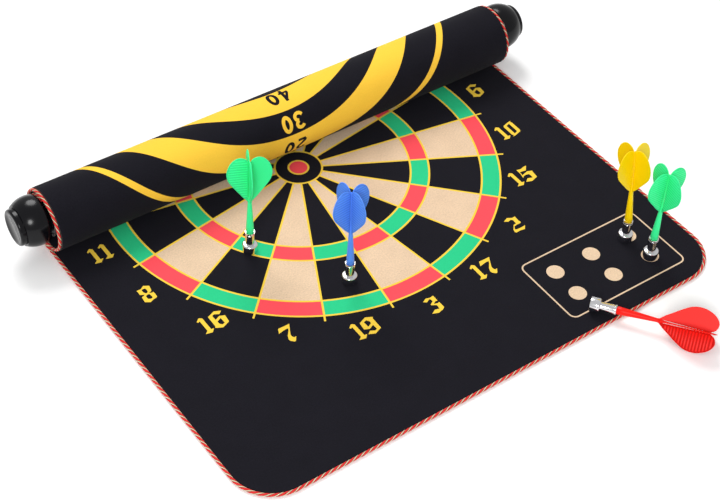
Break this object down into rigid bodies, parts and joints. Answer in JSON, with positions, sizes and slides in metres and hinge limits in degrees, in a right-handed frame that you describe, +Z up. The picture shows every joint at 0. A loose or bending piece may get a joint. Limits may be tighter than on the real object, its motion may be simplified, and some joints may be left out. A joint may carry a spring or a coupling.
{
  "type": "magnetic dartboard",
  "caption": "Roll-up magnetic target mat on a capped tube, partly unrolled, with loose magnetic darts standing and lying on it.",
  "frame": {"origin": "on the underside of the flat mat, below the centre of the target and midway between the side edges", "axes": "+X along the roll's tube to the right, +Y from the bottom edge of the mat towards the roll, +Z up out of the printed face"},
  "size_m": [0.4092, 0.3307, 0.0834],
  "materials": {
    "printed_cloth": "fine woven cloth, printed",
    "magnetic_sheet": "matt flexible sheet filled with iron powder",
    "back_cloth": "fine woven cloth, printed",
    "twisted_cord": "twisted red, cream and black strands",
    "mat_laminate": "cloth on both sides of a flexible magnetic sheet",
    "grey_tube": "matt extruded tube",
    "black_cap": "glossy moulded",
    "green_plastic": "soft moulded, fine ribs",
    "blue_plastic": "soft moulded, fine ribs",
    "yellow_plastic": "soft moulded, fine ribs",
    "red_plastic": "soft moulded, fine ribs",
    "plated_barrel": "bright plated",
    "magnet_metal": "nickel plated magnet"
  },
  "bodies": {
    "mat": {"front_cloth": "printed_cloth", "core_sheet": "magnetic_sheet", "back_cloth": "back_cloth", "edge_cord": "twisted_cord"},
    "strip_1": {"roll_strip_1": "mat_laminate", "roll_cord_1": "twisted_cord"},
    "strip_2": {"roll_strip_2": "mat_laminate", "roll_cord_2": "twisted_cord"},
    "strip_3": {"roll_strip_3": "mat_laminate", "roll_cord_3": "twisted_cord"},
    "strip_4": {"roll_strip_4": "mat_laminate", "roll_cord_4": "twisted_cord"},
    "strip_5": {"roll_strip_5": "mat_laminate", "roll_cord_5": "twisted_cord"},
    "strip_6": {"roll_strip_6": "mat_laminate", "roll_cord_6": "twisted_cord"},
    "strip_7": {"roll_strip_7": "mat_laminate", "roll_cord_7": "twisted_cord"},
    "strip_8": {"roll_strip_8": "mat_laminate", "roll_cord_8": "twisted_cord"},
    "strip_9": {"roll_strip_9": "mat_laminate", "roll_cord_9": "twisted_cord"},
    "strip_10": {"roll_strip_10": "mat_laminate", "roll_cord_10": "twisted_cord"},
    "strip_11": {"roll_strip_11": "mat_laminate", "roll_cord_11": "twisted_cord"},
    "strip_12": {"roll_strip_12": "mat_laminate", "roll_cord_12": "twisted_cord"},
    "strip_13": {"roll_strip_13": "mat_laminate", "roll_cord_13": "twisted_cord"},
    "strip_14": {"roll_strip_14": "mat_laminate", "roll_cord_14": "twisted_cord"},
    "strip_15": {"roll_strip_15": "mat_laminate", "roll_cord_15": "twisted_cord"},
    "strip_16": {"roll_strip_16": "mat_laminate", "roll_cord_16": "twisted_cord"},
    "tube": {"tube_hem": "mat_laminate", "roll_tube": "grey_tube", "end_cap_left": "black_cap", "end_cap_right": "black_cap"},
    "green_dart": {"green_dart_flight": "green_plastic", "green_dart_barrel": "plated_barrel", "green_dart_magnet": "magnet_metal"},
    "blue_dart": {"blue_dart_flight": "blue_plastic", "blue_dart_barrel": "plated_barrel", "blue_dart_magnet": "magnet_metal"},
    "yellow_dart": {"yellow_dart_flight": "yellow_plastic", "yellow_dart_barrel": "plated_barrel", "yellow_dart_magnet": "magnet_metal"},
    "spare_green_dart": {"spare_green_dart_flight": "green_plastic", "spare_green_dart_barrel": "plated_barrel", "spare_green_dart_magnet": "magnet_metal"},
    "red_dart": {"red_dart_flight": "red_plastic", "red_dart_barrel": "plated_barrel", "red_dart_magnet": "magnet_metal"}
  },
  "joints": [
    {"name": "bend_1", "type": "hinge", "parent": "mat", "child": "strip_1", "pos_m": [0, 0.024, 0], "axis": [-1, 0, 0], "range_deg": [0, 16.88]},
    {"name": "bend_2", "type": "hinge", "parent": "strip_1", "child": "strip_2", "pos_m": [0, 0.03739, 0.00406], "axis": [-1, 0, 0], "range_deg": [0, 33.75]},
    {"name": "bend_3", "type": "hinge", "parent": "strip_2", "child": "strip_3", "pos_m": [0, 0.04615, 0.01473], "axis": [-1, 0, 0], "range_deg": [0, 33.75]},
    {"name": "bend_4", "type": "hinge", "parent": "strip_3", "child": "strip_4", "pos_m": [0, 0.04748, 0.02829], "axis": [-1, 0, 0], "range_deg": [0, 33.75]},
    {"name": "bend_5", "type": "hinge", "parent": "strip_4", "child": "strip_5", "pos_m": [0, 0.04115, 0.04014], "axis": [-1, 0, 0], "range_deg": [0, 33.75]},
    {"name": "bend_6", "type": "hinge", "parent": "strip_5", "child": "strip_6", "pos_m": [0, 0.02946, 0.04639], "axis": [-1, 0, 0], "range_deg": [0, 33.75]},
    {"name": "bend_7", "type": "hinge", "parent": "strip_6", "child": "strip_7", "pos_m": [0, 0.01646, 0.04511], "axis": [-1, 0, 0], "range_deg": [0, 33.75]},
    {"name": "bend_8", "type": "hinge", "parent": "strip_7", "child": "strip_8", "pos_m": [0, 0.0065, 0.03693], "axis": [-1, 0, 0], "range_deg": [0, 33.75]},
    {"name": "bend_9", "type": "hinge", "parent": "strip_8", "child": "strip_9", "pos_m": [0, 0.00282, 0.02479], "axis": [-1, 0, 0], "range_deg": [0, 33.75]},
    {"name": "bend_10", "type": "hinge", "parent": "strip_9", "child": "strip_10", "pos_m": [0, 0.00645, 0.01281], "axis": [-1, 0, 0], "range_deg": [0, 33.75]},
    {"name": "bend_11", "type": "hinge", "parent": "strip_10", "child": "strip_11", "pos_m": [0, 0.01598, 0.00499], "axis": [-1, 0, 0], "range_deg": [0, 33.75]},
    {"name": "bend_12", "type": "hinge", "parent": "strip_11", "child": "strip_12", "pos_m": [0, 0.02806, 0.0038], "axis": [-1, 0, 0], "range_deg": [0, 33.75]},
    {"name": "bend_13", "type": "hinge", "parent": "strip_12", "child": "strip_13", "pos_m": [0, 0.0386, 0.00944], "axis": [-1, 0, 0], "range_deg": [0, 33.75]},
    {"name": "bend_14", "type": "hinge", "parent": "strip_13", "child": "strip_14", "pos_m": [0, 0.04415, 0.01982], "axis": [-1, 0, 0], "range_deg": [0, 33.75]},
    {"name": "bend_15", "type": "hinge", "parent": "strip_14", "child": "strip_15", "pos_m": [0, 0.04302, 0.03135], "axis": [-1, 0, 0], "range_deg": [0, 33.75]},
    {"name": "bend_16", "type": "hinge", "parent": "strip_15", "child": "strip_16", "pos_m": [0, 0.03578, 0.04016], "axis": [-1, 0, 0], "range_deg": [0, 33.75]},
    {"name": "bend_17", "type": "hinge", "parent": "strip_16", "child": "tube", "pos_m": [0, 0.02505, 0.04342], "axis": [-1, 0, 0], "range_deg": [0, 16.88]},
    {"name": "green_dart_lift", "type": "slide", "parent": "mat", "child": "green_dart", "axis": [0, 0, 1], "range_m": [0, 0.12]},
    {"name": "blue_dart_lift", "type": "slide", "parent": "mat", "child": "blue_dart", "axis": [0, 0, 1], "range_m": [0, 0.12]},
    {"name": "yellow_dart_lift", "type": "slide", "parent": "mat", "child": "yellow_dart", "axis": [0, 0, 1], "range_m": [0, 0.12]},
    {"name": "spare_green_dart_lift", "type": "slide", "parent": "mat", "child": "spare_green_dart", "axis": [0, 0, 1], "range_m": [0, 0.12]},
    {"name": "red_dart_lift", "type": "slide", "parent": "mat", "child": "red_dart", "axis": [0, 0, 1], "range_m": [0, 0.12]}
  ],
  "couplings": [
    {"joint": "bend_2", "follows": "bend_1", "ratio": 2},
    {"joint": "bend_3", "follows": "bend_1", "ratio": 2},
    {"joint": "bend_4", "follows": "bend_1", "ratio": 2},
    {"joint": "bend_5", "follows": "bend_1", "ratio": 2},
    {"joint": "bend_6", "follows": "bend_1", "ratio": 2},
    {"joint": "bend_7", "follows": "bend_1", "ratio": 2},
    {"joint": "bend_8", "follows": "bend_1", "ratio": 2},
    {"joint": "bend_9", "follows": "bend_1", "ratio": 2},
    {"joint": "bend_10", "follows": "bend_1", "ratio": 2},
    {"joint": "bend_11", "follows": "bend_1", "ratio": 2},
    {"joint": "bend_12", "follows": "bend_1", "ratio": 2},
    {"joint": "bend_13", "follows": "bend_1", "ratio": 2},
    {"joint": "bend_14", "follows": "bend_1", "ratio": 2},
    {"joint": "bend_15", "follows": "bend_1", "ratio": 2},
    {"joint": "bend_16", "follows": "bend_1", "ratio": 2},
    {"joint": "bend_17", "follows": "bend_1", "ratio": 1}
  ]
}
